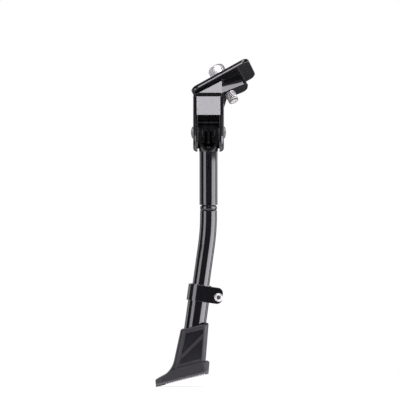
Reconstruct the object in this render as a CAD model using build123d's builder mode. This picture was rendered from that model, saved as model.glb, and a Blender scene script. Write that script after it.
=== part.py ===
"""Bicycle kickstand, centre mount, with a telescopic leg.

Millimetres. The leg hangs along -Z, the pivot lies along X and +Y points to the bicycle's front.
The origin is where the clamp bolt's axis meets the seat of the head.
"""
import os
from math import cos, radians, sin, sqrt, tan

from build123d import *

# Clamp seat: how far it leans to the side and pitches to the front, and the yaw of the boss on it
seat_lean = 29.0
seat_pitch = 24.0
boss_yaw = 17.0

# Clamp bolt, its washers and the clamp plate
bolt_diameter = 10.0
bolt_length = 30.0
bolt_head_diameter = 16.0
bolt_head_height = 10.0
bolt_head_round = 3.0
bolt_socket_flats = 8.0
bolt_socket_depth = 5.0
bolt_end_chamfer = 1.0
thread_clearance = 0.05
flat_washer_diameter = 20.0
flat_washer_thickness = 2.5
spring_washer_diameter = 17.6
spring_washer_thickness = 3.0
spring_washer_slit = 1.6
washer_clearance = 0.25
plate_length = 61.0
plate_width = 40.0
plate_thickness = 3.8
plate_corner = 7.0
plate_hole_clearance = 0.3
plate_edge_round = 0.5

# Head: boss under the plate, cheeks, front web, back web and the pocket between them
boss_width = 15.5
boss_reach = 19.0
boss_corner = 5.5
boss_root = 10.0
boss_thickness = 11.6
pivot_left = 14.8
pivot_drop = 45.8
cheek_gap = 20.6
cheek_thickness = 4.2
cheek_lobe_drop = 3.5
cheek_edge_round = 3.6
cheek_front = 14.5
front_draft = 7.0
head_back = 12.0
back_web_thickness = 2.7
stop_lip_top = 4.0
stop_gap = 0.3
web_foot = 16.4
web_top = 33.6
web_proud = 0.6
web_width = 20.6
web_thickness = 4.8
brow_rise = 3.6
brow_proud = 2.0
brow_relief = 2.4
brow_width = 25.0
pocket_roof = 29.0
gusset_reach = 4.0
gusset_top = 36.0
gusset_foot = 23.0
gusset_front = 1.5
gusset_thickness = 8.0

# Pivot: stub rivets, thrust washers and bushes
rivet_diameter = 8.0
rivet_head_diameter = 11.0
rivet_head_height = 2.0
rivet_head_round = 0.7
rivet_inner_head = 1.2
rivet_inner_gap = 0.2
press_clearance = 0.03
running_clearance = 0.05
thrust_washer_diameter = 15.0
thrust_washer_thickness = 1.1
side_clearance = 0.15
bush_wall = 1.0

# Leg knuckle, rolled from sheet: two ears, a mouth that closes to a seam, and a sleeve
sleeve_diameter = 17.0
sleeve_wall = 2.0
sleeve_bottom = 68.0
ear_wall = 2.2
ear_blend_foot = 18.0
mouth_shoulder = 10.5
mouth_point = 17.0
back_cut = 9.5
seam_width = 0.7
notch_width = 5.0
notch_height = 3.0

# Leg tube: swaged neck in the sleeve, crimp ring, gentle bend
leg_diameter = 16.0
leg_wall = 1.5
neck_clearance = 0.05
neck_length = 32.0
crimp_gap = 0.3
crimp_shoulder = 1.2
crimp_length = 7.5
crimp_depth = 0.5
bend_start = 78.0
bend_radius = 200.0
bend_angle = 8.0
leg_end = 86.0

# Return spring between a pin in the head and a pin in the knuckle
anchor_forward = 5.4
anchor_up = 9.5
anchor_pin_grip = 2.5
spring_pin_drop = 20.0
spring_pin_diameter = 4.0
spring_wire = 1.4
spring_diameter = 7.4
spring_pitch = 1.6
spring_turns = 8
hook_clearance = 0.12
eye_swell = 0.08
stem_rise = 3.0

# Lower tube and its clamp band
slide_clearance = 0.05
tube_wall = 1.95
tube_top = 37.4
tube_length = 71.6
tube_slit_width = 2.0
tube_slit_length = 24.0
band_clearance = 0.05
band_thickness = 1.5
band_ear_thickness = 2.2
band_height = 15.2
band_drop = 0.6
band_gap = 2.6
band_ear_screw = 18.0
band_ear_margin = 3.6
band_ear_round = 5.0
band_screw_drop = 1.2
band_screw_diameter = 4.0
band_screw_head_diameter = 7.6
band_screw_head_height = 3.2
band_screw_head_round = 1.6
band_screw_socket_flats = 3.6
band_screw_socket_depth = 1.8
band_screw_tail = 1.5
band_washer_diameter = 8.2
band_washer_thickness = 0.8
band_nut_flats = 7.0
band_nut_height = 3.2
screw_clearance = 0.25

# Foot boot: a sleeve on the lower tube and a shoe with a ribbed sole, measured from the sole
sole_angle = 14.3
boot_below_tube = 17.5
boot_height = 46.2
boot_clearance = 0.05
boot_floor = 2.0
boot_sleeve_top = (5.0, 32.2)
boot_sleeve_foot = (-15.0, 18.5)
boot_sleeve_depth = 26.0
boot_sleeve_corner = 5.5
boot_rim_round = 1.6
shoe_toe = 31.0
shoe_toe_rake = 1.2
shoe_toe_height = 6.2
shoe_vamp = (-20.0, 8.6)
shoe_instep_height = 19.5
shoe_heel = 20.2
shoe_heel_bead = 3.4
shoe_band_height = 11.4
shoe_band_chamfer = 1.6
shoe_depth = 33.0
shoe_corner = 9.0
rib_pitch = 2.3
rib_groove = 1.2
rib_depth = 1.8
tread_height = 2.9
tread_groove = 0.7
tread_groove_depth = 0.6
panel_foot = 15.0
panel_top = 42.0
panel_margins = (6.0, 4.2)
panel_depth = 1.4
panel_bar = 4.0

# Planes and points worked out from the sizes above
lean, pitch, yaw = radians(seat_lean), radians(seat_pitch), radians(boss_yaw)
seat_normal = Vector(-sin(lean) * cos(pitch), sin(pitch), cos(lean) * cos(pitch))
seat_side = Vector(cos(lean), 0, sin(lean))
seat_front = seat_normal.cross(seat_side)
boss_side = seat_side * cos(yaw) + seat_front * sin(yaw)
seat = Plane(origin=(0, 0, 0), x_dir=seat_side, z_dir=seat_normal)
boss_seat = Plane(origin=(0, 0, 0), x_dir=boss_side, z_dir=seat_normal)

pivot = Vector(-pivot_left, 0, -pivot_drop)
pivot_side = Plane(origin=pivot, x_dir=(0, 1, 0), z_dir=(1, 0, 0))
pivot_view = Plane(origin=pivot, x_dir=(1, 0, 0), z_dir=(0, -1, 0))
pivot_level = Plane(origin=pivot, x_dir=(1, 0, 0), z_dir=(0, 0, 1))
leg_axis = Axis(pivot, (0, 0, 1))

bend = radians(bend_angle)
bend_top = pivot - Vector(0, 0, bend_start)
bend_end = bend_top - Vector(bend_radius * (1 - cos(bend)), 0, bend_radius * sin(bend))
lower = Plane(origin=bend_end, x_dir=(cos(bend), 0, -sin(bend)), z_dir=(sin(bend), 0, cos(bend)))

sole_tilt = radians(sole_angle)
sole_drop = tube_top + tube_length + boot_below_tube
sole_point = bend_end - lower.z_dir * sole_drop
sole_along = Vector(cos(sole_tilt), 0, sin(sole_tilt))
sole_up = Vector(-sin(sole_tilt), 0, cos(sole_tilt))
sole = Plane(origin=sole_point, x_dir=sole_along, z_dir=sole_up)
sole_view = Plane(origin=sole_point, x_dir=sole_along, z_dir=(0, -1, 0))

# Radii, slopes and levels that follow from the sizes above
draft = radians(front_draft)
bolt_radius = bolt_diameter / 2
washer_level = plate_thickness + flat_washer_thickness
bolt_seat = washer_level + spring_washer_thickness
cheek_inner = cheek_gap / 2
cheek_outer = cheek_inner + cheek_thickness
back_web_inner = head_back - back_web_thickness
sleeve_radius = sleeve_diameter / 2
sleeve_bore = sleeve_radius - sleeve_wall
ear_outer = cheek_inner - thrust_washer_thickness - 2 * side_clearance
ear_inner = ear_outer - ear_wall
rivet_radius = rivet_diameter / 2
bush_bore = rivet_radius + running_clearance
bush_radius = bush_bore + bush_wall
leg_radius = leg_diameter / 2
tube_bore = leg_radius + slide_clearance
tube_radius = tube_bore + tube_wall
band_inner = tube_radius + band_clearance
band_outer = band_inner + band_thickness


def finish(piece, name):
    """Label a finished sub-part and write it."""
    piece.part.label = name
    export_step(piece.part, f"parts/{name}.step")


def front_at(height):
    """How far the head's front stands forward of the pivot at a height above it."""
    return cheek_front - (height - web_foot) * tan(draft)


os.makedirs("parts", exist_ok=True)

# Head bracket: one casting with the seat, the boss, two cheeks, the front web and the back web
head_top = pivot_drop + plate_length / 2
lobe_foot = cheek_lobe_drop + cheek_front
lobe_back = cheek_lobe_drop + sqrt(cheek_front**2 - head_back**2)
brow_foot = web_top + brow_rise
brow_base = front_at(0) + brow_proud
seat_rise = seat_normal.Z + seat_normal.Y * tan(draft)
brow_top = (seat_normal.Y * brow_base + seat_normal.Z * pivot_drop) / seat_rise
relief_level = brow_top - brow_relief
relief = Plane(
    origin=(0, relief_level * tan(draft) - brow_base, relief_level - pivot_drop),
    z_dir=seat_normal + Vector(0, -cos(draft), sin(draft)),
)

with BuildPart() as head_bracket:
    with BuildSketch(pivot_side):
        with BuildLine():
            Polyline(
                (-cheek_front, -cheek_lobe_drop),
                (-cheek_front, web_foot),
                (-front_at(head_top), head_top),
                (head_back, head_top),
                (head_back, -lobe_back),
            )
            ThreePointArc((head_back, -lobe_back), (0, -lobe_foot), (-cheek_front, -cheek_lobe_drop))
        make_face()
    extrude(amount=cheek_outer, both=True)
    outer_rim = head_bracket.edges().filter_by(
        lambda e: abs(abs((e @ 0.5).X - pivot.X) - cheek_outer) < 1e-3
        and (e @ 0.5).Y < head_back / 2
        and (e @ 0.5).Z - pivot.Z < head_top - 1
    )
    fillet(outer_rim, cheek_edge_round)
    with BuildSketch(pivot_side):
        with BuildLine():
            Polyline(
                (-front_at(web_foot) - web_proud, web_foot),
                (-front_at(web_top) - web_proud, web_top),
                (-front_at(web_top) - web_proud + web_thickness, web_top),
                (-front_at(web_foot) - web_proud + web_thickness, web_foot),
                close=True,
            )
        make_face()
    extrude(amount=web_width / 2, both=True)
    with BuildSketch(pivot_side):
        with BuildLine():
            Polyline(
                (-front_at(web_top), web_top),
                (-front_at(brow_foot) - brow_proud, brow_foot),
                (-front_at(head_top) - brow_proud, head_top),
                (0, head_top),
                (0, web_top),
                close=True,
            )
        make_face()
    extrude(amount=brow_width / 2, both=True)
    split(bisect_by=seat, keep=Keep.BOTTOM)
    split(bisect_by=relief, keep=Keep.BOTTOM)
    with BuildSketch(boss_seat) as boss_outline:
        with Locations(((boss_reach - boss_root) / 2, 0)):
            Rectangle(boss_reach + boss_root, boss_width)
        fillet(boss_outline.vertices().sort_by(Axis.X)[-2:], boss_corner)
    extrude(amount=-boss_thickness)
    with BuildSketch(pivot_view.offset(-gusset_front)):
        with BuildLine():
            Polyline(
                (cheek_inner, gusset_top),
                (cheek_outer + gusset_reach, gusset_top),
                (cheek_outer, gusset_foot),
                (cheek_inner, gusset_foot),
                close=True,
            )
        make_face()
    extrude(amount=-gusset_thickness)
    with BuildSketch(pivot_side):
        front_clear = cheek_front + lobe_foot
        with BuildLine():
            Polyline(
                (-front_clear, -front_clear),
                (-front_clear, web_foot),
                (-front_at(web_foot) - web_proud + web_thickness, web_foot),
                (-front_at(web_foot) - web_proud + web_thickness, pocket_roof),
                (back_web_inner, pocket_roof),
                (back_web_inner, -stop_lip_top),
                (sleeve_radius + stop_gap, -stop_lip_top),
                (sleeve_radius + stop_gap, -front_clear),
                close=True,
            )
        make_face()
    extrude(amount=cheek_inner, both=True, mode=Mode.SUBTRACT)
    with BuildSketch(pivot_side):
        Circle(rivet_radius + press_clearance)
    extrude(amount=cheek_outer, both=True, mode=Mode.SUBTRACT)
    with BuildSketch(pivot_side):
        with Locations((anchor_forward, anchor_up)):
            Circle(spring_pin_diameter / 2 + press_clearance)
    extrude(amount=cheek_inner + anchor_pin_grip, both=True, mode=Mode.SUBTRACT)
    with BuildSketch(seat):
        Circle(bolt_radius + thread_clearance)
    extrude(amount=-bolt_length, mode=Mode.SUBTRACT)
finish(head_bracket, "head_bracket")

# Clamp plate: pressed flat plate that lies on the seat and turns about the bolt
with BuildPart() as clamp_plate:
    with BuildSketch(seat):
        RectangleRounded(plate_length, plate_width, plate_corner)
        Circle(bolt_radius + plate_hole_clearance, mode=Mode.SUBTRACT)
    extrude(amount=plate_thickness)
    broad_faces = clamp_plate.faces().sort_by(SortBy.AREA)[-2:]
    fillet([e for f in broad_faces for e in f.outer_wire().edges()], plate_edge_round)
finish(clamp_plate, "clamp_plate")

# Flat washer and split spring washer between the plate and the bolt head
with BuildPart() as flat_washer:
    with BuildSketch(seat.offset(plate_thickness)):
        Circle(flat_washer_diameter / 2)
        Circle(bolt_radius + washer_clearance, mode=Mode.SUBTRACT)
    extrude(amount=flat_washer_thickness)
finish(flat_washer, "flat_washer")

with BuildPart() as spring_washer:
    with BuildSketch(seat.offset(washer_level)):
        Circle(spring_washer_diameter / 2)
        Circle(bolt_radius + washer_clearance, mode=Mode.SUBTRACT)
        with Locations((0, -spring_washer_diameter / 2)):
            Rectangle(spring_washer_slit, spring_washer_diameter, mode=Mode.SUBTRACT)
    extrude(amount=spring_washer_thickness)
finish(spring_washer, "spring_washer")

# Clamp bolt: socket cap screw that threads into the boss
with BuildPart() as clamp_bolt:
    with BuildSketch(seat.offset(bolt_seat)):
        Circle(bolt_head_diameter / 2)
    extrude(amount=bolt_head_height)
    fillet(clamp_bolt.edges().sort_by(Axis((0, 0, 0), seat_normal))[-1], bolt_head_round)
    with BuildSketch(seat.offset(bolt_seat)):
        Circle(bolt_radius)
    extrude(amount=-bolt_length)
    chamfer(clamp_bolt.edges().sort_by(Axis((0, 0, 0), seat_normal))[0], bolt_end_chamfer)
    with BuildSketch(seat.offset(bolt_seat + bolt_head_height)):
        RegularPolygon(bolt_socket_flats / sqrt(3), 6)
    extrude(amount=-bolt_socket_depth, mode=Mode.SUBTRACT)
finish(clamp_bolt, "clamp_bolt")

# Pivot: on each side a stub rivet in the cheek, a thrust washer and a bush in the knuckle's ear
rivet_start = ear_inner - rivet_inner_gap - rivet_inner_head

for side, side_name in ((-1, "left"), (1, "right")):
    outward = Plane(origin=pivot, x_dir=(0, 1, 0), z_dir=(side, 0, 0))

    with BuildPart() as pivot_rivet:
        with BuildSketch(outward.offset(rivet_start)):
            Circle(rivet_head_diameter / 2)
        extrude(amount=rivet_inner_head)
        with BuildSketch(outward.offset(rivet_start)):
            Circle(rivet_radius)
        extrude(amount=cheek_outer - rivet_start)
        with BuildSketch(outward.offset(cheek_outer)):
            Circle(rivet_head_diameter / 2)
        extrude(amount=rivet_head_height)
        fillet(pivot_rivet.edges().sort_by(Axis(pivot, (side, 0, 0)))[-1], rivet_head_round)
    finish(pivot_rivet, f"{side_name}_pivot_rivet")

    with BuildPart() as thrust_washer:
        with BuildSketch(outward.offset(ear_outer + side_clearance)):
            Circle(thrust_washer_diameter / 2)
            Circle(bush_bore, mode=Mode.SUBTRACT)
        extrude(amount=thrust_washer_thickness)
    finish(thrust_washer, f"{side_name}_thrust_washer")

    with BuildPart() as pivot_bush:
        with BuildSketch(outward.offset(ear_inner)):
            Circle(bush_radius)
            Circle(bush_bore, mode=Mode.SUBTRACT)
        extrude(amount=ear_wall)
    finish(pivot_bush, f"{side_name}_pivot_bush")

# Leg knuckle: square-shouldered ears that run down into a round sleeve with a front seam
ear_corner = sqrt(ear_outer**2 + sleeve_radius**2)

with BuildPart() as leg_knuckle:
    with BuildSketch(pivot_side):
        with Locations((0, -ear_blend_foot / 2)):
            Rectangle(sleeve_diameter, ear_blend_foot)
        Circle(sleeve_radius)
    extrude(amount=ear_outer, both=True)
    with BuildSketch(pivot_view):
        with BuildLine():
            Polyline(
                (0, -ear_blend_foot),
                (sleeve_radius, -ear_blend_foot),
                (ear_corner, -mouth_shoulder),
                (ear_corner, sleeve_diameter),
                (0, sleeve_diameter),
                close=True,
            )
        make_face()
    revolve(axis=leg_axis, mode=Mode.INTERSECT)
    with BuildSketch(pivot_level.offset(-sleeve_bottom)):
        Circle(sleeve_radius)
    extrude(amount=sleeve_bottom - mouth_point)
    with BuildSketch(pivot_level.offset(-sleeve_bottom)):
        Circle(sleeve_bore)
    extrude(amount=sleeve_bottom, mode=Mode.SUBTRACT)
    with BuildSketch(pivot_view):
        with BuildLine():
            Polyline(
                (-ear_inner, sleeve_diameter),
                (-ear_inner, -mouth_shoulder),
                (-seam_width / 2, -mouth_point),
                (-seam_width / 2, -sleeve_bottom + notch_height),
                (-notch_width / 2, -sleeve_bottom),
                (notch_width / 2, -sleeve_bottom),
                (seam_width / 2, -sleeve_bottom + notch_height),
                (seam_width / 2, -mouth_point),
                (ear_inner, -mouth_shoulder),
                (ear_inner, sleeve_diameter),
                close=True,
            )
        make_face()
    extrude(amount=sleeve_diameter, mode=Mode.SUBTRACT)
    with BuildSketch(pivot_view):
        with Locations((0, (sleeve_diameter - back_cut) / 2)):
            Rectangle(2 * ear_inner, sleeve_diameter + back_cut)
    extrude(amount=-sleeve_diameter, mode=Mode.SUBTRACT)
    with BuildSketch(pivot_side):
        Circle(bush_radius + press_clearance)
        with Locations((0, -spring_pin_drop)):
            Circle(spring_pin_diameter / 2 + press_clearance)
    extrude(amount=cheek_outer, both=True, mode=Mode.SUBTRACT)
finish(leg_knuckle, "leg_knuckle")

# Leg tube: neck swaged down to fit the sleeve, a crimp ring, then the bent tube
neck_radius = sleeve_bore - neck_clearance
crimp_top = sleeve_bottom + crimp_gap
crimp_foot = crimp_top + crimp_length
crimp_middle = (crimp_top + crimp_shoulder + crimp_foot) / 2
tube_start = pivot - Vector(0, 0, crimp_foot)

with BuildPart() as leg_tube:
    with BuildLine() as leg_path:
        Line(tube_start, bend_top)
        TangentArc(bend_top, bend_end, tangent=(0, 0, -1))
        Line(bend_end, bend_end - lower.z_dir * leg_end)
    with BuildSketch(Plane(origin=tube_start, x_dir=(1, 0, 0), z_dir=(0, 0, -1))):
        Circle(leg_radius)
        Circle(leg_radius - leg_wall, mode=Mode.SUBTRACT)
    sweep(path=leg_path.wire())
    with BuildSketch(pivot_view):
        with BuildLine():
            Polyline(
                (neck_radius, -sleeve_bottom + neck_length),
                (neck_radius, -crimp_top),
                (leg_radius, -crimp_top - crimp_shoulder),
                (leg_radius, -crimp_middle + crimp_shoulder),
                (leg_radius - crimp_depth, -crimp_middle),
                (leg_radius, -crimp_middle - crimp_shoulder),
                (leg_radius, -crimp_foot),
                (leg_radius - leg_wall, -crimp_foot),
                (leg_radius - leg_wall, -crimp_top - 2 * crimp_shoulder),
                (neck_radius - leg_wall, -crimp_top - crimp_shoulder),
                (neck_radius - leg_wall, -sleeve_bottom + neck_length),
                close=True,
            )
        make_face()
    revolve(axis=leg_axis)
finish(leg_tube, "leg_tube")

# Pins for the return spring: one across the cheeks, one across the knuckle
with BuildPart() as spring_anchor_pin:
    with BuildSketch(pivot_side):
        with Locations((anchor_forward, anchor_up)):
            Circle(spring_pin_diameter / 2)
    extrude(amount=cheek_inner + anchor_pin_grip, both=True)
finish(spring_anchor_pin, "spring_anchor_pin")

with BuildPart() as spring_pin:
    with BuildSketch(pivot_side):
        with Locations((0, -spring_pin_drop)):
            Circle(spring_pin_diameter / 2)
    extrude(amount=sleeve_radius, both=True)
finish(spring_pin, "spring_pin")

# Return spring: close-wound coil, an eye round each pin and a stem from each eye to the coil
wire_radius = spring_wire / 2
coil_radius = spring_diameter / 2 - wire_radius
coil_length = spring_pitch * spring_turns
anchor_point = pivot + Vector(0, anchor_forward, anchor_up)
spring_point = pivot - Vector(0, 0, spring_pin_drop)
spring_span = (anchor_point - spring_point).length
spring_way = (anchor_point - spring_point) / spring_span
coil_start = spring_point + spring_way * (spring_span - coil_length) / 2
coil_end = coil_start + spring_way * coil_length
eye_radius = spring_pin_diameter / 2 + hook_clearance + wire_radius + eye_swell

with BuildPart() as return_spring:
    with BuildLine() as spring_path:
        coil = Helix(spring_pitch, coil_length, coil_radius, center=coil_start, direction=spring_way)
        low_turn = coil_start - spring_way * stem_rise
        high_turn = coil_end + spring_way * stem_rise
        Line(spring_point + spring_way * eye_radius, low_turn)
        Spline(low_turn, coil @ 0, tangents=(spring_way, coil % 0))
        Spline(coil @ 1, high_turn, tangents=(coil % 1, spring_way))
        Line(high_turn, anchor_point - spring_way * eye_radius)
    spring_line = spring_path.wire()
    with BuildSketch(Plane(origin=spring_line @ 0, z_dir=spring_line % 0)):
        Circle(wire_radius)
    sweep(path=spring_line)
    for eye, away in ((spring_point, -spring_way), (anchor_point, spring_way)):
        with Locations(Location(Plane(origin=eye, x_dir=away, z_dir=(1, 0, 0)))):
            Torus(eye_radius, wire_radius + eye_swell)
finish(return_spring, "return_spring")

# Lower tube: slides on the leg tube and is slit at the top under the clamp band
clip = lower.offset(-tube_top)

with BuildPart() as lower_tube:
    with BuildSketch(clip):
        Circle(tube_radius)
        Circle(tube_bore, mode=Mode.SUBTRACT)
    extrude(amount=-tube_length)
    with BuildSketch(clip):
        with Locations((tube_radius, 0)):
            Rectangle(2 * tube_radius, tube_slit_width)
    extrude(amount=-tube_slit_length, mode=Mode.SUBTRACT)
finish(lower_tube, "lower_tube")

# Clamp band: strap round the lower tube that leaves it straight at the front, with two ears and a screw
ear_tip = band_ear_screw + band_ear_margin
band_half = band_gap / 2 + band_ear_thickness
ear_middle = band_half - band_outer
band_level = clip.offset(-band_drop)
screw_level = band_level.offset(-band_height / 2 - band_screw_drop)
screw_line = Plane(
    origin=screw_level.from_local_coords((band_ear_screw, ear_middle, 0)),
    x_dir=clip.x_dir,
    z_dir=-clip.y_dir,
)

with BuildPart() as clamp_band:
    with BuildSketch(band_level):
        Circle(band_outer)
        with Locations((ear_tip / 2, ear_middle)):
            Rectangle(ear_tip, 2 * band_half)
        Circle(band_inner, mode=Mode.SUBTRACT)
        with Locations((ear_tip / 2, ear_middle)):
            Rectangle(ear_tip, band_gap, mode=Mode.SUBTRACT)
    extrude(amount=-band_height)
    tip_edges = clamp_band.edges().filter_by(
        lambda e: abs((e.center() - clip.origin).dot(clip.x_dir) - ear_tip) < 1e-3
        and abs((e @ 1 - e @ 0).dot(clip.y_dir)) > band_ear_thickness / 2
    )
    fillet(tip_edges, band_ear_round)
    with BuildSketch(screw_line):
        Circle(band_screw_diameter / 2 + screw_clearance)
    extrude(amount=band_half, both=True, mode=Mode.SUBTRACT)
finish(clamp_band, "clamp_band")

# Band screw with a rounded socket head, its washer and its nut
screw_head_level = band_half + band_washer_thickness

with BuildPart() as band_screw:
    with BuildSketch(screw_line.offset(screw_head_level)):
        Circle(band_screw_head_diameter / 2)
    extrude(amount=band_screw_head_height)
    fillet(band_screw.edges().sort_by(Axis(screw_line.origin, screw_line.z_dir))[-1], band_screw_head_round)
    with BuildSketch(screw_line.offset(screw_head_level)):
        Circle(band_screw_diameter / 2)
    extrude(amount=-(screw_head_level + band_half + band_nut_height + band_screw_tail))
    with BuildSketch(screw_line.offset(screw_head_level + band_screw_head_height)):
        RegularPolygon(band_screw_socket_flats / sqrt(3), 6)
    extrude(amount=-band_screw_socket_depth, mode=Mode.SUBTRACT)
finish(band_screw, "band_screw")

with BuildPart() as band_washer:
    with BuildSketch(screw_line.offset(band_half)):
        Circle(band_washer_diameter / 2)
        Circle(band_screw_diameter / 2 + screw_clearance, mode=Mode.SUBTRACT)
    extrude(amount=band_washer_thickness)
finish(band_washer, "band_washer")

with BuildPart() as band_nut:
    with BuildSketch(screw_line.offset(-band_half)):
        RegularPolygon(band_nut_flats / sqrt(3), 6)
        Circle(band_screw_diameter / 2 + thread_clearance, mode=Mode.SUBTRACT)
    extrude(amount=-band_nut_height)
finish(band_nut, "band_nut")

# Foot boot: sleeve and instep first, with their long corners rounded, then the shoe below them
boot_rise = boot_height - shoe_toe_height


def sleeve_edge(edge, height):
    """Where the boot sleeve's toe-side (0) or heel-side (1) edge stands at a height above the sole."""
    share = (height - shoe_toe_height) / boot_rise
    return boot_sleeve_foot[edge] + (boot_sleeve_top[edge] - boot_sleeve_foot[edge]) * share


instep = (sleeve_edge(0, shoe_instep_height), shoe_instep_height)

with BuildPart() as boot_sleeve:
    with BuildSketch(sole_view):
        with BuildLine():
            Polyline(
                instep,
                (boot_sleeve_top[0], boot_height),
                (boot_sleeve_top[1], boot_height),
                (sleeve_edge(1, boot_floor), boot_floor),
                (shoe_vamp[0], boot_floor),
                shoe_vamp,
            )
            TangentArc(instep, shoe_vamp, tangent=(boot_sleeve_foot[0] - boot_sleeve_top[0], -boot_rise))
        make_face()
    extrude(amount=boot_sleeve_depth / 2, both=True)
    corners = boot_sleeve.edges().filter_by(
        lambda e: abs((e % 0.5).dot(sole_up)) > 0.1 and e.length > shoe_vamp[1]
    )
    fillet(corners, boot_sleeve_corner)
    fillet(boot_sleeve.faces().sort_by(Axis(sole_point, sole_up))[-1].edges(), boot_rim_round)

heel_end = shoe_heel + shoe_heel_bead
shoe_length = shoe_toe + heel_end
shoe_middle = (heel_end - shoe_toe) / 2
rib_first = shoe_corner - shoe_toe
rib_last = shoe_heel - rib_pitch
rib_count = int((rib_last - rib_first) / rib_pitch)
panel_corners = [
    (sleeve_edge(0, panel_foot) + panel_margins[0], panel_foot),
    (sleeve_edge(0, panel_top) + panel_margins[0], panel_top),
    (sleeve_edge(1, panel_top) - panel_margins[1], panel_top),
    (sleeve_edge(1, panel_foot) - panel_margins[1], panel_foot),
]
bar_low = panel_foot + panel_bar
bar_high = panel_top - 2 * panel_bar
bar_corners = [
    (sleeve_edge(0, bar_low) + panel_margins[0], bar_low),
    (sleeve_edge(0, bar_low + panel_bar) + panel_margins[0], bar_low + panel_bar),
    (sleeve_edge(1, bar_high + panel_bar) - panel_margins[1], bar_high + panel_bar),
    (sleeve_edge(1, bar_high) - panel_margins[1], bar_high),
]

with BuildPart() as foot_boot:
    with BuildSketch(sole_view):
        with BuildLine():
            Polyline(
                (shoe_heel, 0),
                (-shoe_toe, 0),
                (-shoe_toe + shoe_toe_rake, shoe_toe_height),
                shoe_vamp,
                (shoe_vamp[0] + shoe_corner, shoe_band_height),
                (heel_end - shoe_band_chamfer, shoe_band_height),
                (heel_end, shoe_band_height - shoe_band_chamfer),
                close=True,
            )
        make_face()
    extrude(amount=shoe_depth / 2, both=True)
    with BuildSketch(sole):
        with Locations((shoe_middle, 0)):
            RectangleRounded(shoe_length, shoe_depth, shoe_corner)
    extrude(amount=boot_height, mode=Mode.INTERSECT)
    add(boot_sleeve.part)
    with BuildSketch(sole_view.offset(boot_sleeve_depth / 2)):
        Polygon(*panel_corners, align=None)
        Polygon(*bar_corners, align=None, mode=Mode.SUBTRACT)
    extrude(amount=-panel_depth, mode=Mode.SUBTRACT)
    with BuildSketch(lower.offset(-tube_top - tube_length)):
        Circle(tube_radius + boot_clearance)
    extrude(amount=2 * boot_height, mode=Mode.SUBTRACT)
    with BuildSketch(sole):
        with Locations(((rib_first + rib_last) / 2, 0)):
            with GridLocations(rib_pitch, 1, rib_count, 1):
                Rectangle(rib_groove, shoe_depth)
    extrude(amount=rib_depth, mode=Mode.SUBTRACT)
    with BuildSketch(sole.offset(tread_height)):
        with Locations((shoe_middle, 0)):
            with GridLocations(1, shoe_depth, 1, 2):
                Rectangle(shoe_length, 2 * tread_groove_depth)
    extrude(amount=tread_groove, mode=Mode.SUBTRACT)
finish(foot_boot, "foot_boot")
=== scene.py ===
# %% [markdown]
# # A bicycle kickstand in gloss black
# The stand hangs under a bicycle's chainstays, folds to the rear and props the bicycle on a ribbed
# foot. The solids come in as a fixed frame, in metres, with +Y towards the bicycle's front and the leg
# along -Z. This file adds what solids leave out: paint, plating, rolled threads, a wound spring and
# light.

# %% Load the frame
from math import cos, pi, radians, sin

import bmesh
import bpy
from mathutils import Matrix, Vector


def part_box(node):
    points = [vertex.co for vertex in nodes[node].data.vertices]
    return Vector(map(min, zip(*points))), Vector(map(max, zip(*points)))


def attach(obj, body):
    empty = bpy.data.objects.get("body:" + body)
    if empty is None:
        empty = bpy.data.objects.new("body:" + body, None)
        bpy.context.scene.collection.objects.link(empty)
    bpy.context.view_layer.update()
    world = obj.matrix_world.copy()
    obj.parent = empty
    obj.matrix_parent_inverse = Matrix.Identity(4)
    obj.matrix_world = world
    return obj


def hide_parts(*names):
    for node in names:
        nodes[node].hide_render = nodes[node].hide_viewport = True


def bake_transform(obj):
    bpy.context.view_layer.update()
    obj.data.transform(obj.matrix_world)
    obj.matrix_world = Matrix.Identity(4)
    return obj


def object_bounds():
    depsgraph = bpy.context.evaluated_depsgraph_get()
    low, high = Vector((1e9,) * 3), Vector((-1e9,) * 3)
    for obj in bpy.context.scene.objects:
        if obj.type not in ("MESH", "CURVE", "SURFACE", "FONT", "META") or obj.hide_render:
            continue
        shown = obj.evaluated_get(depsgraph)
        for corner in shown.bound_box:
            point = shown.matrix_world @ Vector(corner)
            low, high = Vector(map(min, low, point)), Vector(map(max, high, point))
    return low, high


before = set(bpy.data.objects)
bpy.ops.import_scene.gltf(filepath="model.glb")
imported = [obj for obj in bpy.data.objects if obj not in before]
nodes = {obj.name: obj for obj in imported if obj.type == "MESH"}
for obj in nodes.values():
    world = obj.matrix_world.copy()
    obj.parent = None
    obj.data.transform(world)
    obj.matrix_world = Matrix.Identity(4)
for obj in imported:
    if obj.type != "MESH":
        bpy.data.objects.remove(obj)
cad_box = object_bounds()
mm = 0.001
pivot = Vector((-14.8, 0.0, -45.8)) * mm


def shortened(box):
    return [[round(value, 4) for value in corner] for corner in box]


print("frame:", len(nodes), "nodes, box", shortened(cad_box))

# %% [markdown]
# ## Writing shader maths as expressions
# A finish is a small network of nodes. Placing each Math node by hand hides the idea behind it, so one
# class wraps a socket and lets Python's operators add the nodes: `0.1 + 0.05 * grain` reads as what it
# does.


# %% Sockets
class Socket:
    """One output of a node. Arithmetic on it adds Math nodes."""

    def __init__(self, finish, output):
        self.finish, self.output = finish, output

    def math(self, operation, first, second):
        return self.finish.node("ShaderNodeMath", {"operation": operation}, {0: first, 1: second})

    def __add__(self, other):
        return self.math("ADD", self, other)

    def __radd__(self, other):
        return self.math("ADD", other, self)

    def __sub__(self, other):
        return self.math("SUBTRACT", self, other)

    def __rsub__(self, other):
        return self.math("SUBTRACT", other, self)

    def __mul__(self, other):
        return self.math("MULTIPLY", self, other)

    def __rmul__(self, other):
        return self.math("MULTIPLY", other, self)


print("sockets add, subtract and multiply, on either side of a number")

# %% [markdown]
# ## One class for every finish
# A second class holds one material, or the world. Its method `node` adds any node: settings first, then
# sockets. The other methods are the few networks that come back in several finishes, such as a noise in
# the object's own place, a soft step between two values, or a mask of the edges from how far a rounded
# normal leans.


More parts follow.
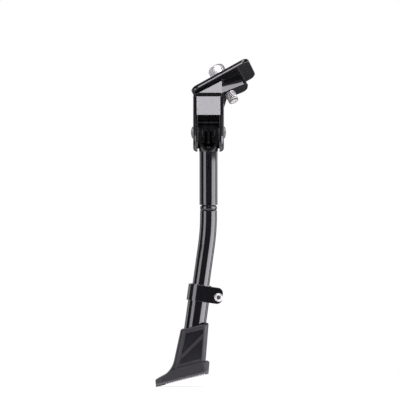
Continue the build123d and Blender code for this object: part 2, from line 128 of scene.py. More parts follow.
# %% Finishes
class Finish:
    """One material, or the world: its surface and the nodes that feed it."""

    def __init__(self, name, world=None):
        self.material = world or bpy.data.materials.new(name)
        self.material.use_nodes = True
        self.tree = self.material.node_tree
        self.surface = self.tree.nodes["Background" if world else "Principled BSDF"]
        self.result = self.tree.nodes["World Output" if world else "Material Output"]

    def node(self, kind, settings=None, sockets=None, output=0):
        made = self.tree.nodes.new(kind)
        for name, value in (settings or {}).items():
            setattr(made, name, value)
        for key, value in (sockets or {}).items():
            self.feed(made.inputs[key], value)
        return Socket(self, made.outputs[output])

    def feed(self, target, value):
        if isinstance(value, Socket):
            self.tree.links.new(value.output, target)
        else:
            target.default_value = value

    def set(self, **values):
        for name, value in values.items():
            self.feed(self.surface.inputs[name.replace("_", " ")], value)

    def place(self, kind="Object"):
        return self.node("ShaderNodeTexCoord", {}, {}, kind)

    def coordinate(self, axis, kind="Object"):
        return self.node("ShaderNodeSeparateXYZ", {}, {"Vector": self.place(kind)}, axis)

    def normal(self):
        return self.node("ShaderNodeNewGeometry", {}, {}, "Normal")

    def ray(self, kind):
        """1 for rays of one kind, such as Camera, and 0 for others."""
        return self.node("ShaderNodeLightPath", {}, {}, f"Is {kind} Ray")

    def grain(self, scale, detail):
        sockets = {"Vector": self.place(), "Scale": scale, "Detail": detail}
        return self.node("ShaderNodeTexNoise", {}, sockets)

    def mix(self, share, low, high):
        return self.node("ShaderNodeMix", {"data_type": "RGBA"}, {0: share, 6: low, 7: high}, 2)

    def vectors(self, operation, first, second, output="Vector"):
        return self.node("ShaderNodeVectorMath", {"operation": operation}, {0: first, 1: second}, output)

    def dot(self, first, second):
        return self.vectors("DOT_PRODUCT", first, second, "Value")

    def rounded_normal(self, radius, samples):
        return self.node("ShaderNodeBevel", {"samples": samples}, {"Radius": radius})

    def edges(self, width, gain):
        """1 on convex and concave edges, 0 on faces: how far the rounded normal leans from the true one."""
        lean = 1.0 - self.dot(self.rounded_normal(width, samples=8), self.normal())
        return self.node("ShaderNodeMath", {"operation": "MULTIPLY", "use_clamp": True}, {0: lean, 1: gain})

    def radius_about(self, axis, through=(0.0, 0.0, 0.0)):
        """Distance from an axis through a point."""
        arm = self.vectors("SUBTRACT", self.place(), through)
        crossed = self.vectors("CROSS_PRODUCT", arm, axis)
        return self.node("ShaderNodeVectorMath", {"operation": "LENGTH"}, {0: crossed}, "Value")

    def ramp(self, value, low, high):
        """0 below low, 1 above high."""
        ends = {"Value": value, "From Min": low, "From Max": high}
        return self.node("ShaderNodeMapRange", {"clamp": True}, ends)

    def band(self, value, starts, full, fades, ends):
        """1 from full to fades, 0 before it starts and after it ends."""
        return self.ramp(value, starts, full) * (1.0 - self.ramp(value, fades, ends))

    def relief(self, height, depth, strength, edge=None):
        """Bump from a height, on edges that are rounded by a radius where one is given."""
        sockets = {"Height": height, "Distance": depth, "Strength": strength}
        if edge:
            sockets["Normal"] = self.rounded_normal(edge, samples=6)
        return self.node("ShaderNodeBump", {}, sockets)

    def show(self, share, other):
        """Show another shader over the surface, by a share."""
        own = Socket(self, self.surface.outputs[0])
        shown = self.node("ShaderNodeMixShader", {}, {0: share, 1: own, 2: other})
        self.feed(self.result.inputs["Surface"], shown)


print("Finish:", ", ".join(name for name in vars(Finish) if not name.startswith("_")))


# %% Colours and dressing
def colour(red, green, blue):
    return (red, green, blue, 1.0)


def between(low, high, share):
    """A number that runs from low to high with a share."""
    return low + (high - low) * share


def dress(finish, *names):
    for name in names:
        materials = nodes[name].data.materials
        materials.clear()
        materials.append(finish.material)
    print(finish.material.name, "on", ", ".join(names))


# %% [markdown]
# ## Gloss black powder coat
# The head, tubes and band are sprayed with powder and baked. The coat flows out almost flat and leaves
# a faint orange peel about a millimetre across. It is drawn as a black base under a clear coat, because
# the two layers give a sharp reflection with a soft one below it. The bevel node rounds each cut edge a
# little, as paint does, and a painted highlight makes the edges a shade lighter. The gloss is a
# function of the finish, so that one recipe serves a full coat, a satin one and one that is masked off.


# %% Powder coat
peel_scale, haze_scale, gloss_scale = 900.0, 70.0, 40.0
coat_deep, coat_hazy = colour(0.003, 0.003, 0.0035), colour(0.007, 0.0065, 0.0075)
bare_roughness, coated_roughness, haze_roughness = 0.60, 0.16, 0.10
# The blue tint of the painted edge highlight.
highlight_blue = 1.04


def powder_coat(name, gloss, glint, edge):
    """Black powder coat. The gloss runs from 0 for bare phosphated steel to 1 for the full coat."""
    coat = Finish(name)
    peel = coat.grain(peel_scale, detail=1.0)
    haze = coat.grain(haze_scale, detail=3.0)
    shine = gloss(coat)
    black = coat.mix(haze, coat_deep, coat_hazy)
    # The edge argument sets the lightness of a painted highlight along every edge.
    painted_edge_highlight = colour(edge, edge, highlight_blue * edge)
    coat.set(
        Base_Color=coat.mix(coat.edges(width=0.5 * mm, gain=5.0), black, painted_edge_highlight),
        Roughness=between(bare_roughness, coated_roughness, shine) + haze_roughness * haze,
        Coat_Weight=shine,
        Coat_Roughness=0.04,
        Coat_IOR=1.5,
        Specular_IOR_Level=glint,
        Normal=coat.relief(peel, depth=0.02 * mm, strength=0.35, edge=0.4 * mm),
    )
    return coat


def full_gloss(coat):
    return between(1.0, 0.94, coat.grain(gloss_scale, detail=2.0))


full_coat = powder_coat("gloss_black_coat", full_gloss, glint=0.15, edge=0.16)
dress(full_coat, "head_bracket", "leg_tube", "lower_tube", "clamp_band")

# %% [markdown]
# ## Satin plate and masked ears
# The plate that grips the frame has a thinner coat with less gloss. The knuckle's ears turn against the
# nylon washers, so they are masked off before spraying and stay dull. Where the mask ended, the gloss
# rises over a couple of millimetres, which a ramp on the height gives.

# %% Satin and masked coats
mask_end, mask_fade = pivot.z - 12.5 * mm, 2.0 * mm


def satin_gloss(coat):
    return between(0.8, 0.9, coat.grain(gloss_scale, detail=2.0))


def masked_gloss(coat):
    return 1.0 - coat.ramp(coat.coordinate("Z"), mask_end, mask_end + mask_fade)


plate_coat = powder_coat("satin_black_coat", satin_gloss, glint=0.2, edge=0.2)
dress(plate_coat, "clamp_plate")
ear_coat = powder_coat("masked_black_coat", masked_gloss, glint=0.06, edge=0.03)
dress(ear_coat, "leg_knuckle")

# %% [markdown]
# ## Bright zinc plate
# Bolt, washers and band screw are plated and passivated. Zinc is a soft grey mirror: its gloss wanders
# over a few millimetres and the passivation leaves a hint of blue and straw. Dirt is a function of the
# finish here, because each fastener keeps it in another place: on its edges or in a thread. The band
# screw's socket is darkened the same way, as a painted shade in the recess.


# %% Zinc
zinc_blue, zinc_straw = colour(0.70, 0.71, 0.73), colour(0.80, 0.78, 0.75)
# The colour of old oil, and of the painted shade in the band screw's socket.
oil_and_shade = colour(0.035, 0.028, 0.020)


def zinc_plate(name, dirt_and_shade):
    """Bright zinc. The dirt runs from 0 for clean plate to 1 for a groove full of oil or a socket in
    painted shade.
    """
    zinc = Finish(name)
    cloud = zinc.grain(scale=260.0, detail=3.0)
    fine = zinc.grain(scale=2600.0, detail=2.0)
    grime_and_shade = dirt_and_shade(zinc)
    zinc.set(
        Base_Color=zinc.mix(grime_and_shade, zinc.mix(cloud, zinc_blue, zinc_straw), oil_and_shade),
        Metallic=between(1.0, 0.3, grime_and_shade),
        Roughness=between(0.40, 0.52, cloud),
        Normal=zinc.relief(fine, depth=0.02 * mm, strength=0.4, edge=0.3 * mm),
    )
    return zinc


def edge_dirt(finish):
    return 0.25 * finish.edges(width=0.4 * mm, gain=4.0)


clean_zinc = zinc_plate("bright_zinc_plate", edge_dirt)
dress(clean_zinc, "clamp_bolt", "flat_washer", "spring_washer", "band_screw", "band_washer", "band_nut")

# %% [markdown]
# ## Greased rivets
# The outer heads of the pivot rivets are plated like the bolt, but duller. Their shanks and inner heads
# turn in the bushes and are dark with grease, so the finish changes where the rivet passes the inner
# face of a cheek.

# %% Rivet finish
cheek_inner = 10.4 * mm
rivet = Finish("greased_rivet")
from_middle = rivet.node("ShaderNodeMath", {"operation": "ABSOLUTE"}, {0: rivet.coordinate("X") - pivot.x})
inside = rivet.node("ShaderNodeMath", {"operation": "LESS_THAN"}, {0: from_middle, 1: cheek_inner})
smear = rivet.grain(scale=420.0, detail=3.0)
plated = rivet.mix(smear, colour(0.24, 0.24, 0.255), colour(0.33, 0.32, 0.31))
greased = rivet.mix(smear, colour(0.004, 0.004, 0.003), colour(0.012, 0.010, 0.008))
rivet.set(
    Base_Color=rivet.mix(inside, plated, greased),
    Metallic=1.0 - inside,
    Roughness=between(0.38, 0.52, smear) + 0.1 * inside,
    Normal=rivet.relief(smear, depth=0.02 * mm, strength=0.4, edge=0.3 * mm),
)
dress(rivet, "left_pivot_rivet", "right_pivot_rivet")

# %% [markdown]
# ## Oiled spring steel, nylon and bronze
# The spring and its pins are black from their heat treatment and wiped with oil. The thrust washers are
# moulded nylon and the bushes sintered bronze, which is full of fine pores. Little of them shows, but a
# leg that swings up bares them. All three are one noise that drives colour, roughness and relief, so
# one function makes them.


# %% Inner finishes
def plain_stock(name, scale, detail, dark, light, metal, smooth, rough, depth, strength):
    """A finish from one noise, which runs from a dark, smooth stock to a light, rough one."""
    stock = Finish(name)
    spots = stock.grain(scale, detail)
    stock.set(
        Base_Color=stock.mix(spots, dark, light),
        Metallic=metal,
        Roughness=between(smooth, rough, spots),
        Normal=stock.relief(spots, depth, strength),
    )
    return stock


spring_steel = plain_stock(
    "oiled_spring_steel", scale=800.0, detail=2.0,
    dark=colour(0.012, 0.012, 0.013), light=colour(0.036, 0.034, 0.032),
    metal=0.85, smooth=0.28, rough=0.44, depth=0.02 * mm, strength=0.4,
)
dress(spring_steel, "return_spring", "spring_anchor_pin", "spring_pin")
nylon = plain_stock(
    "black_nylon", scale=1500.0, detail=2.0,
    dark=colour(0.010, 0.010, 0.010), light=colour(0.018, 0.018, 0.018),
    metal=0.0, smooth=0.42, rough=0.54, depth=0.02 * mm, strength=0.5,
)
dress(nylon, "left_thrust_washer", "right_thrust_washer")
bronze = plain_stock(
    "sintered_bronze", scale=3200.0, detail=3.0,
    dark=colour(0.30, 0.20, 0.09), light=colour(0.52, 0.36, 0.17),
    metal=1.0, smooth=0.38, rough=0.58, depth=0.03 * mm, strength=0.6,
)
dress(bronze, "left_pivot_bush", "right_pivot_bush")

# %% [markdown]
# ## Moulded boot
# The foot is a dark grey moulding with a spark-eroded grain. Its edges are a shade lighter, partly from
# wear and partly as a painted highlight. Two noises make it: a fine one for the grain in relief and a broad
# one for the uneven sheen. The sunk panel on the side towards the viewer is polished in the mould, so the
# finish changes at the panel's depth, on faces that look to the rear. Just above the ground a painted
# highlight runs round the sole as a paler line on the tread's lip, which is a band of heights over the
# tilted sole.

# %% Boot masks
boot = Finish("boot_moulding")
facing_rear = boot.ramp(boot.dot(boot.normal(), (0.0, -1.0, 0.0)), low=0.9, high=0.98)
panel_depth = boot.band(
    boot.coordinate("Y"), starts=-12.5 * mm, full=-12.1 * mm, fades=-11.3 * mm, ends=-10.9 * mm,
)
panel = panel_depth * facing_rear

sole_degrees = 14.3
sole_tilt = radians(sole_degrees)
sole_up = Vector((-sin(sole_tilt), 0.0, cos(sole_tilt)))
sole_point = Vector((-34.35, 0.0, -276.90)) * mm
above_sole = boot.dot(boot.place(), sole_up) - sole_up.dot(sole_point)
# A painted highlight: a paler band just above the sole, where the tread's lip would catch light.
painted_lip_highlight = boot.band(above_sole, starts=1.0 * mm, full=1.3 * mm, fades=2.6 * mm, ends=2.9 * mm)
print("sole tilts", sole_degrees, "degrees at", [round(value, 4) for value in sole_point])

# %% Boot
grit = boot.grain(scale=2200.0, detail=3.0)
sheen = boot.grain(scale=55.0, detail=3.0)
moulded = boot.mix(sheen, colour(0.014, 0.012, 0.014), colour(0.023, 0.022, 0.028))
polished, worn_and_highlit = colour(0.0095, 0.009, 0.012), colour(0.07, 0.068, 0.074)
# The colour of the painted lip highlight.
lip_highlight_colour = colour(0.11, 0.106, 0.112)
# Edges a shade lighter, partly wear and partly a painted highlight.
skin = boot.mix(boot.edges(width=0.8 * mm, gain=3.0), boot.mix(panel, moulded, polished), worn_and_highlit)
boot.set(
    Base_Color=boot.mix(painted_lip_highlight, skin, lip_highlight_colour),
    Roughness=between(0.36, 0.50, sheen) - 0.18 * panel,
    Specular_IOR_Level=0.5,
    Normal=boot.relief(grit * (1.0 - panel), depth=0.05 * mm, strength=0.6, edge=0.7 * mm),
)
dress(boot, "foot_boot")

# %% [markdown]
# ## Turned, rolled and punched pieces
# The bolt head is turned and knurled and its thread is rolled, so both are rings round one axis whose
# radius changes with the angle. One function stacks such rings into a mesh. A thread is then a radius
# that falls with the height less the angle, a hexagon is a radius that grows towards its corners, and
# so is a punched plate.


# %% Ring stacks
def mesh_object(name, shape):
    """Finish a mesh: normals outward, round faces shaded smooth and its corners kept sharp."""
    bmesh.ops.recalc_face_normals(shape, faces=shape.faces)
    for face in shape.faces:
        face.smooth = True
    mesh = bpy.data.meshes.new(name)
    shape.to_mesh(mesh)
    shape.free()
    mesh.set_sharp_from_angle(angle=radians(35.0))
    made = bpy.data.objects.new(name, mesh)
    bpy.context.scene.collection.objects.link(made)
    print(name, len(mesh.polygons), "faces")
    return made


def ring_stack(name, start, axis, rings, segments, side=None):
    """A closed mesh from rings (height, radius at an angle) along an axis from a start.

    With a side, angles count from that side and the last ring joins the first, round a hole.
    """
    turn = Vector(axis).to_track_quat("Z", "Y")
    if side:
        turn = Matrix((side, axis.cross(side), axis)).transposed().to_quaternion()
    shape = bmesh.new()

    def vertex(x, y, z):
        return shape.verts.new(start + turn @ Vector((x, y, z)))

    angles = [2 * pi * k / segments for k in range(segments)]
    loops = [[vertex(r(a) * cos(a), r(a) * sin(a), z) for a in angles] for z, r in rings]
    if side:
        loops.append(loops[0])
    else:
        for loop, (height, _) in ((loops[0], rings[0]), (loops[-1], rings[-1])):
            middle = vertex(0.0, 0.0, height)
            for k in range(segments):
                shape.faces.new((loop[k], loop[k - 1], middle))
    for low, high in zip(loops, loops[1:]):
        for k in range(segments):
            shape.faces.new((low[k], low[k - 1], high[k - 1], high[k]))
    return mesh_object(name, shape)


# %% Ring outlines
def plain(radius):
    return lambda angle: radius


def knurl(radius, depth, count):
    return lambda angle: radius - depth * abs(sin(count * angle / 2))


def hexagon(flats):
    return lambda angle: flats / 2 / cos(angle % (pi / 3) - pi / 6)


def rounded_rectangle(length, width, corner, inset):
    """A rounded rectangle about the axis, drawn in by an inset."""
    half_x, half_y, curve = length / 2 - inset, width / 2 - inset, corner - inset
    middle_x, middle_y = half_x - curve, half_y - curve

    def radius(angle):
        x, y = abs(cos(angle)), abs(sin(angle))
        if half_x * y <= middle_y * x:
            return half_x / x
        if half_y * x <= middle_x * y:
            return half_y / y
        along = middle_x * x + middle_y * y
        return along + (along**2 + curve**2 - middle_x**2 - middle_y**2) ** 0.5
    return radius


def thread(height, crest, depth, lead, root=0.1):
    """A thread with straight flanks. The root is half of the groove's floor, as a share of the lead."""
    def radius(angle):
        turn = (height / lead - angle / (2 * pi)) % 1.0
        from_crest = 0.5 - abs(turn - 0.5)
        return crest - depth * min(1.0, from_crest / (0.5 - root))
    return radius


socket_corner, socket_flat = hexagon(8.0)(0.0), hexagon(8.0)(pi / 6)
print("an 8 mm hexagon has a radius of", round(socket_flat, 2), "to", round(socket_corner, 2), "mm")

# %% [markdown]
# ## Socket screws
# The clamp bolt and the band screw are both cold headed: a rounded head with a hexagon socket, over a
# shank with a rolled thread. One list of rings draws either, from the tip up the thread, over the head
# and down to the floor of the socket. The thread fades in at the tip and stays inside the plain shank
# of the solid, so it still fits its hole.


# %% Screw rings
rings_per_lead, rim_steps = 8, 8
thread_entry, thread_runout, tip_cut, entry_cut = 0.7, 0.25, 1.1, 0.75
head_chamfer = 0.06
knurl_depth, knurl_levels, knurl_end = 0.13 * mm, (0.16, 0.36, 0.57, 0.79, 0.90), 0.95
socket_flare, socket_flare_depth = 0.24 * mm, 0.3 * mm
drill_depth, drill_radius = 0.07, 0.1


def thread_rings(tip, end, crest, groove, lead):
    """Rings of a thread that fades in from the tip and runs out into the shank."""
    count = round(rings_per_lead * (end - tip) / lead)
    rings = [(tip, plain(crest - tip_cut * groove))]
    for k in range(count + 1):
        z = tip + (end - tip) * k / count
        entry = min(1.0, (z - tip) / (thread_entry * lead))
        entry_crest = crest - (1.0 - entry) * entry_cut * groove
        rings.append((z, thread(z, entry_crest, groove * entry, lead)))
    return rings + [(end + thread_runout * lead, plain(crest))]


def head_rings(foot, top, radius, rim, flats, drive, ribs):
    """Rings of a socket head: a chamfer below, ribs where there are any, a rounded rim and the hexagon."""
    rings = [(foot, plain((1.0 - head_chamfer) * radius)), (foot + head_chamfer * radius, plain(radius))]
    side = top - rim - foot
    if ribs:
        rings += [(foot + level * side, knurl(radius, knurl_depth, ribs)) for level in knurl_levels]
        rings.append((foot + knurl_end * side, plain(radius)))
    for k in range(rim_steps + 1):
        a = pi / 2 * k / rim_steps
        rings.append((top - rim * (1 - sin(a)), plain(radius - rim * (1 - cos(a)))))
    rings += [(top, hexagon(flats + socket_flare)), (top - socket_flare_depth, hexagon(flats))]
    rings.append((top - drive, hexagon(flats)))
    return rings + [(top - drive - drill_depth * flats, plain(drill_radius * flats))]


print("screws:", rings_per_lead, "rings to each turn of a thread")

# %% [markdown]
# ## Clamp bolt
# An M10 bolt with a fine straight knurl on its head, an 8 mm socket and a coarse thread of 1.5 mm
# pitch. Oil stays between the crests, so a second zinc is darkened by the distance from the bolt's
# axis.

# %% Bolt
seat_lean, seat_pitch = radians(29.0), radians(24.0)
bolt_axis = Vector((-sin(seat_lean) * cos(seat_pitch), sin(seat_pitch), cos(seat_lean) * cos(seat_pitch)))
bolt_tip, bolt_thread_end, bolt_foot, bolt_top = -20.7 * mm, -1.0 * mm, 9.3 * mm, 19.3 * mm
bolt_crest = 4.98 * mm


def thread_dirt(finish):
    """Oil that has stayed between the crests of the thread."""
    from_axis = finish.radius_about(bolt_axis)
    return 0.95 * finish.band(from_axis, starts=3.2 * mm, full=4.0 * mm, fades=4.5 * mm, ends=4.8 * mm)


bolt_rings = thread_rings(bolt_tip, bolt_thread_end, bolt_crest, groove=0.78 * mm, lead=1.5 * mm)
bolt_rings.append((bolt_foot, plain(bolt_crest)))
bolt_rings += head_rings(
    bolt_foot, bolt_top, radius=8.0 * mm, rim=3.0 * mm, flats=8.0 * mm, drive=5.0 * mm, ribs=60,
)
bolt = ring_stack("socket_cap_bolt", Vector(), bolt_axis, bolt_rings, segments=240)
bolt.data.materials.append(zinc_plate("threaded_zinc_plate", thread_dirt).material)
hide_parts("clamp_bolt")
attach(bolt, "clamp_screw")

# %% [markdown]
# ## Clamp plate
# The plate is punched from sheet, and the die draws its lower edge back to a slope about a millimetre
# high. The slope turns a thin line of light to the viewer all along the plate. It is drawn as a stack
# of rounded rectangles, drawn in towards the seat, which closes on itself round the bolt's hole. The
# slope has two close rings at each end, so that it stays flat when it is shaded smooth.

# %% Plate
seat_side = Vector((cos(seat_lean), 0.0, sin(seat_lean)))
plate_length, plate_width, plate_corner, plate_hole = 61.0 * mm, 40.0 * mm, 7.0 * mm, 5.3 * mm
plate_under = ((0.0, 0.90), (0.0, 0.66), (0.14, 0.42))
plate_slope = ((0.40, 0.30), (0.47, 0.28), (1.18, 0.076), (1.25, 0.056))
plate_side = ((1.50, 0.0), (1.70, 0.0), (3.3, 0.0))
plate_over = ((3.65, 0.15), (3.8, 0.50), (3.8, 0.70))
plate_levels = plate_under + plate_slope + plate_side + plate_over
plate_section = [(level * mm, inset * mm) for level, inset in plate_levels]


def plate_outline(inset):
    return rounded_rectangle(plate_length, plate_width, plate_corner, inset)


hole_low, hole_high = plate_section[0][0], plate_section[-1][0]
plate_rings = [(hole_low, plain(plate_hole))]
plate_rings += [(level, plate_outline(inset)) for level, inset in plate_section]
plate_rings.append((hole_high, plain(plate_hole)))
rolled_plate = ring_stack(
    "rolled_edge_plate", Vector(), bolt_axis, plate_rings, segments=360, side=seat_side,
)
rolled_plate.data.materials.append(plate_coat.material)
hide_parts("clamp_plate")
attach(rolled_plate, "plate")

# %% [markdown]
# ## Band screw
# An M4 screw that pulls the band's two ears together. It lies along Y with its head to the rear, and
# its socket is darkened with a painted shade. Its place is read from the box of its solid, so it follows
# the solid if that moves.

# %% Band screw
screw_low, screw_high = (Vector(corner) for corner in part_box("band_screw"))
screw_middle = (screw_low + screw_high) / 2
screw_tail = Vector((screw_middle.x, screw_high.y, screw_middle.z))
screw_length = screw_high.y - screw_low.y
screw_crest, screw_head, screw_neck, shade_fade = 1.98 * mm, 3.2 * mm, 1.0 * mm, 1.0 * mm


def socket_painted_shade(finish):
    """Painted shade in the socket: near the screw's axis and on the head's half of its length."""
    from_axis = finish.radius_about((0.0, 1.0, 0.0), screw_middle)
    near = 1.0 - finish.ramp(from_axis, low=1.6 * mm, high=2.0 * mm)
    head_half = 1.0 - finish.ramp(finish.coordinate("Y"), screw_middle.y, screw_middle.y + shade_fade)
    return 0.9 * near * head_half


screw_foot = screw_length - screw_head
band_screw_rings = thread_rings(0.0, screw_foot - screw_neck, screw_crest, groove=0.36 * mm, lead=0.7 * mm)
band_screw_rings.append((screw_foot, plain(screw_crest)))
band_screw_rings += head_rings(
    screw_foot, screw_length, radius=3.8 * mm, rim=1.6 * mm, flats=3.6 * mm, drive=1.6 * mm, ribs=0,
)
band_screw = ring_stack("socket_band_screw", screw_tail, (0.0, -1.0, 0.0), band_screw_rings, segments=96)
# This zinc carries a painted shade in the hexagon socket.
band_screw.data.materials.append(zinc_plate("socket_screw_zinc", socket_painted_shade).material)
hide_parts("band_screw")
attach(band_screw, "foot")
print("band screw", round(screw_length / mm, 1), "mm long at", [round(value, 4) for value in screw_middle])

# %% [markdown]
# ## Rivet heads
# Each pivot rivet is spun over on the outside of its cheek, which leaves a low dome. The inner head
# stays flat, as it was upset before assembly. The same rings draw both, from the inner head out along
# the pivot to the top of the dome.

# %% Rivets in place
shank_radius, head_radius = 4.0 * mm, 5.5 * mm
inner_height, outer_height, outer_rim = 1.2 * mm, 2.0 * mm, 0.7 * mm
dome_steps = 10


def rivet_rings(length):
    """Rings of a stub rivet: a flat inner head, a shank and a domed outer head."""
    outer_foot = length - outer_height
    rings = [(0.0, plain(head_radius)), (inner_height, plain(head_radius))]
    rings += [(inner_height, plain(shank_radius)), (outer_foot, plain(shank_radius))]
    rings.append((outer_foot, plain(head_radius)))
    rise = outer_height - outer_rim
    dome = (head_radius**2 + rise**2) / (2 * rise)
    for k in range(dome_steps):
        r = head_radius * (1.0 - k / (dome_steps - 0.5))
        rings.append((length - dome + (dome**2 - r**2) ** 0.5, plain(r)))
    return rings


for name in ("left_pivot_rivet", "right_pivot_rivet"):
    low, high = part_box(name)
    outward = 1.0 if low[0] > pivot.x else -1.0
    inner_end = Vector((low[0] if outward > 0 else high[0], pivot.y, pivot.z))
    rings = rivet_rings(high[0] - low[0])
    domed = ring_stack("domed_" + name, inner_end, (outward, 0.0, 0.0), rings, segments=72)
    domed.data.materials.append(rivet.material)
    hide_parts(name)
    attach(domed, "head")

# %% [markdown]
# ## Tread bridges
# The grooves of the tread are blind: the moulding bridges each one in the middle, which stiffens the
# ribs and lets no light through under the foot. A block a hair narrower than its groove stands in each,
# set back from both sides and a little above the ground, so that the ribs still show.

# %% Tread bridges
groove_count, groove_pitch, groove_width, groove_depth = 17, 2.3 * mm, 1.2 * mm, 1.8 * mm
grooves_middle, bridge_length, bridge_foot, hair = -2.05 * mm, 8.0 * mm, 0.7 * mm, 0.01 * mm
bridge_width, bridge_height = groove_width - 2 * hair, groove_depth - hair - bridge_foot
sole_along = Vector((cos(sole_tilt), 0.0, sin(sole_tilt)))
sole_across = Vector((0.0, 1.0, 0.0))
tread = bmesh.new()
for k in range(groove_count):
    along = grooves_middle + (k - (groove_count - 1) / 2) * groove_pitch
    middle = sole_point + along * sole_along + (bridge_foot + bridge_height / 2) * sole_up
    for corner in bmesh.ops.create_cube(tread, size=1.0)["verts"]:
        x, y, z = corner.co
        corner.co = middle + x * bridge_width * sole_along + y * bridge_length * sole_across
        corner.co += z * bridge_height * sole_up
bridges = mesh_object("tread_bridges", tread)
bridges.data.materials.append(boot.material)
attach(bridges, "foot")

# %% [markdown]
# ## Return spring
# An extension spring of 1.4 mm wire: a hook round each pin, a short stem and eight close turns. Its
# line is laid through a list of points and a tube is drawn along it.

# %% Spring line
wire, pin_radius, pin_clearance = 0.7 * mm, 2.0 * mm, 0.12 * mm
coil_radius, coil_pitch, turns, points_per_turn = 3.0 * mm, 1.6 * mm, 8, 24
hook_stem, coil_entry = 0.8 * mm, 1.2 * mm
hook_opens, hook_closes, hook_step = 300, 15, 15
low_pin = pivot + Vector((0.0, 0.0, -20.0)) * mm
high_pin = pivot + Vector((0.0, 5.4, 9.5)) * mm
span = (high_pin - low_pin).length
up = (high_pin - low_pin) / span
coil_side = Vector((1.0, 0.0, 0.0))
coil_back = up.cross(coil_side)
hook = pin_radius + pin_clearance + wire
coil_foot = (span - coil_pitch * turns) / 2


def hook_points(pin, way):
    """A hook round a pin, from its open end to where its stem leaves along the way."""
    angles = [radians(a) for a in range(hook_opens, hook_closes, -hook_step)]
    bend = [pin + hook * (cos(a) * way + sin(a) * coil_back) for a in angles]
    return bend + [pin + (hook + hook_stem) * way]


line = hook_points(low_pin, up)
line.append(low_pin + (coil_foot - coil_entry) * up)
for k in range(turns * points_per_turn + 1):
    a = 2 * pi * k / points_per_turn
    middle = low_pin + (coil_foot + coil_pitch * k / points_per_turn) * up
    line.append(middle + coil_radius * (cos(a) * coil_back + sin(a) * coil_side))
line.append(high_pin - (coil_foot - coil_entry) * up)
line += reversed(hook_points(high_pin, -up))
print("spring line of", len(line), "points over", round(span / mm, 1), "mm")


# %% Spring wire
def smoothed(points, fine=3):
    """The same points with a Catmull-Rom curve between them."""
    ends = [points[0]] + points + [points[-1]]
    curve = []
    for p, q, r, s in zip(ends, ends[1:], ends[2:], ends[3:]):
        squared = 2 * p - 5 * q + 4 * r - s
        cubed = 3 * q - p - 3 * r + s
        for k in range(fine):
            t = k / fine
            curve.append(0.5 * (2 * q + (r - p) * t + squared * t**2 + cubed * t**3))
    return curve + [points[-1]]


def wire_mesh(name, points, radius, sides):
    """A round wire along points, with its section carried along without twist."""
    shape = bmesh.new()
    side = Vector((0.0, 0.0, 1.0)).cross(points[1] - points[0]).normalized()
    angles = [2 * pi * j / sides for j in range(sides)]
    loops = []
    for k, point in enumerate(points):
        along = (points[min(k + 1, len(points) - 1)] - points[max(k - 1, 0)]).normalized()
        side = (side - side.dot(along) * along).normalized()
        other = along.cross(side)
        loops.append([shape.verts.new(point + radius * (cos(a) * side + sin(a) * other)) for a in angles])
    for low, high in zip(loops, loops[1:]):
        for j in range(sides):
            shape.faces.new((low[j - 1], low[j], high[j], high[j - 1]))
    shape.faces.new(loops[0])
    shape.faces.new(reversed(loops[-1]))
    return mesh_object(name, shape)


spring = wire_mesh("wound_spring", smoothed(line), wire, sides=12)
spring.data.materials.append(spring_steel.material)
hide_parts("return_spring")
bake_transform(spring)

# %% [markdown]
# ## Paper floor
# The stand is shown over a strip of white paper that takes the foot's shadow. The strip ends outside
# the picture, so that the low lamps can shine past it. Rays from the camera, and those that a mirror or
# glass sends on, see a glow added to it, so the paper reads as white without more light on the stand.

# %% Floor
floor_level = cad_box[0][2] - 0.4 * mm
strip_left, strip_right, strip_near, strip_far = -0.34, 0.29, -0.25, 0.22
strip_corners = (
    (strip_left, strip_near), (strip_right, strip_near), (strip_right, strip_far), (strip_left, strip_far),
)
strip = bmesh.new()
strip.faces.new([strip.verts.new((x, y, floor_level)) for x, y in strip_corners])
paper_mesh = bpy.data.meshes.new("paper")
strip.to_mesh(paper_mesh)
strip.free()
paper = bpy.data.objects.new("paper", paper_mesh)
bpy.context.scene.collection.objects.link(paper)

sheet = Finish("paper_sheet")
sheet.set(Base_Color=colour(0.86, 0.86, 0.86), Roughness=0.9, Specular_IOR_Level=0.1)
glow = sheet.node("ShaderNodeEmission", {}, {"Color": colour(1.0, 1.0, 1.0), "Strength": 0.72})
lit = sheet.node("ShaderNodeAddShader", {}, {0: Socket(sheet, sheet.surface.outputs[0]), 1: glow})
sheet.show(sheet.ray("Camera") + sheet.ray("Glossy") + sheet.ray("Transmission"), lit)
paper_mesh.materials.append(sheet.material)
print("floor at", round(floor_level, 4))

# %% [markdown]
# ## Softboxes
# Gloss black shows lamps, not lamplight, so each softbox stands where a surface mirrors it to the
# camera. A low one on each side draws the tubes' two stripes. One above the camera lights the head's
# upright web and the slope along the plate, one overhead lights the boss, and one high on the left
# lights the bolt's head and the plate's upper edge. A pair behind the stand gives the tubes a thin rim
# of light. The lamps are given by the radiance of their face, because that is what a mirror shows.

# %% Lights
lamp_tint = (1.0, 0.958, 1.035)


def around(bearing, rise, reach, centre):
    """A point at a bearing from the camera's side (right positive), a rise and a distance from a centre."""
    b, r = radians(bearing), radians(rise)
    return Vector(centre) + reach * Vector((sin(b) * cos(r), -cos(b) * cos(r), sin(r)))


def softbox(name, aim, bearing, rise, reach, width, height, radiance):
    lamp = bpy.data.lights.new(name, "AREA")
    lamp.shape, lamp.size, lamp.size_y = "RECTANGLE", width, height
    lamp.energy = radiance * pi * width * height
    lamp.color = lamp_tint
    holder = bpy.data.objects.new(name, lamp)
    holder.location = around(bearing, rise, reach, aim)
    holder.rotation_euler = (Vector(aim) - holder.location).to_track_quat("-Z", "Y").to_euler()
    bpy.context.scene.collection.objects.link(holder)
    print(name, "radiance", radiance)


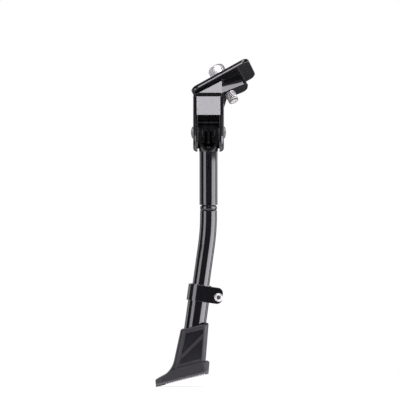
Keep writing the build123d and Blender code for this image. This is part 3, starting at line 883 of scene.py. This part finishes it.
leg_middle = (-0.030, 0.0, -0.150)
head_middle = (-0.015, -0.015, -0.020)
right_aim, left_aim = (-0.030, 0.0, -0.480), (-0.030, 0.0, -0.455)
softbox("right_softbox", right_aim, bearing=70, rise=0, reach=1.1, width=1.15, height=0.84, radiance=7.0)
softbox("left_softbox", left_aim, bearing=-50, rise=0, reach=1.1, width=0.62, height=0.84, radiance=4.6)
softbox("web_softbox", head_middle, bearing=0, rise=16, reach=0.8, width=0.30, height=0.20, radiance=10.0)
softbox("top_softbox", head_middle, bearing=10, rise=60, reach=0.9, width=0.52, height=0.44, radiance=6.8)
softbox("left_overhead", head_middle, bearing=-86, rise=60, reach=0.9, width=0.4, height=0.4, radiance=3.5)
for name, bearing, radiance in (("right_rear_softbox", 118, 2.4), ("left_rear_softbox", -118, 1.6)):
    softbox(name, leg_middle, bearing, rise=12, reach=1.2, width=0.36, height=1.1, radiance=radiance)

# %% [markdown]
# ## The room
# Around the stand the room is dim, so that the black stays black. The camera, and glass, see plain
# white instead. Of the white behind the stand a mirror shows only a share, and only above the floor: a
# grazing reflection of all of it would wash out the tubes' edges.

# %% World
room = Finish("studio", bpy.data.worlds.new("studio"))
room_strength, white_share = 0.16, 0.4
room.set(Color=colour(0.5, 0.5, 0.52), Strength=room_strength)
far_side = room.ramp(room.coordinate("Y", "Generated"), low=0.60, high=0.80)
over_floor = room.ramp(room.coordinate("Z", "Generated"), low=-0.25, high=-0.05)
white = room.node("ShaderNodeBackground", {}, {"Color": colour(1.0, 1.0, 1.0)})
mirrored = white_share * room.ray("Glossy") * (far_side * over_floor)
room.show(room.ray("Camera") + room.ray("Transmission") + mirrored, white)
bpy.context.scene.world = room.material
print("room strength", room_strength, "with", white_share, "of the white in mirrors")

# %% [markdown]
# ## Camera
# The stand is seen square on from behind the bicycle, through a long lens, so that its outline is
# nearly flat. The distance follows from the width of the picture, the lens and the sensor.

# %% Camera
frame_width, frame_middle = 0.376, Vector((-0.0228, 0.0, -0.1092))
focal, sensor = 400.0, 36.0
camera_data = bpy.data.cameras.new("camera")
camera_data.lens, camera_data.sensor_width = focal, sensor
camera_data.clip_start, camera_data.clip_end = 0.01, 20.0
camera = bpy.data.objects.new("camera", camera_data)
camera.location = frame_middle + Vector((0.0, -frame_width * focal / sensor, 0.0))
camera.rotation_euler = (pi / 2, 0.0, 0.0)
bpy.context.scene.collection.objects.link(camera)
bpy.context.scene.camera = camera
bpy.context.scene.view_settings.view_transform = "Standard"
print("camera", [round(value, 3) for value in camera.location])

# %% [markdown]
# ## Size and finish
# The dressed stand has to lie inside the box of the solids, because the solids say how much room the
# real stand takes.
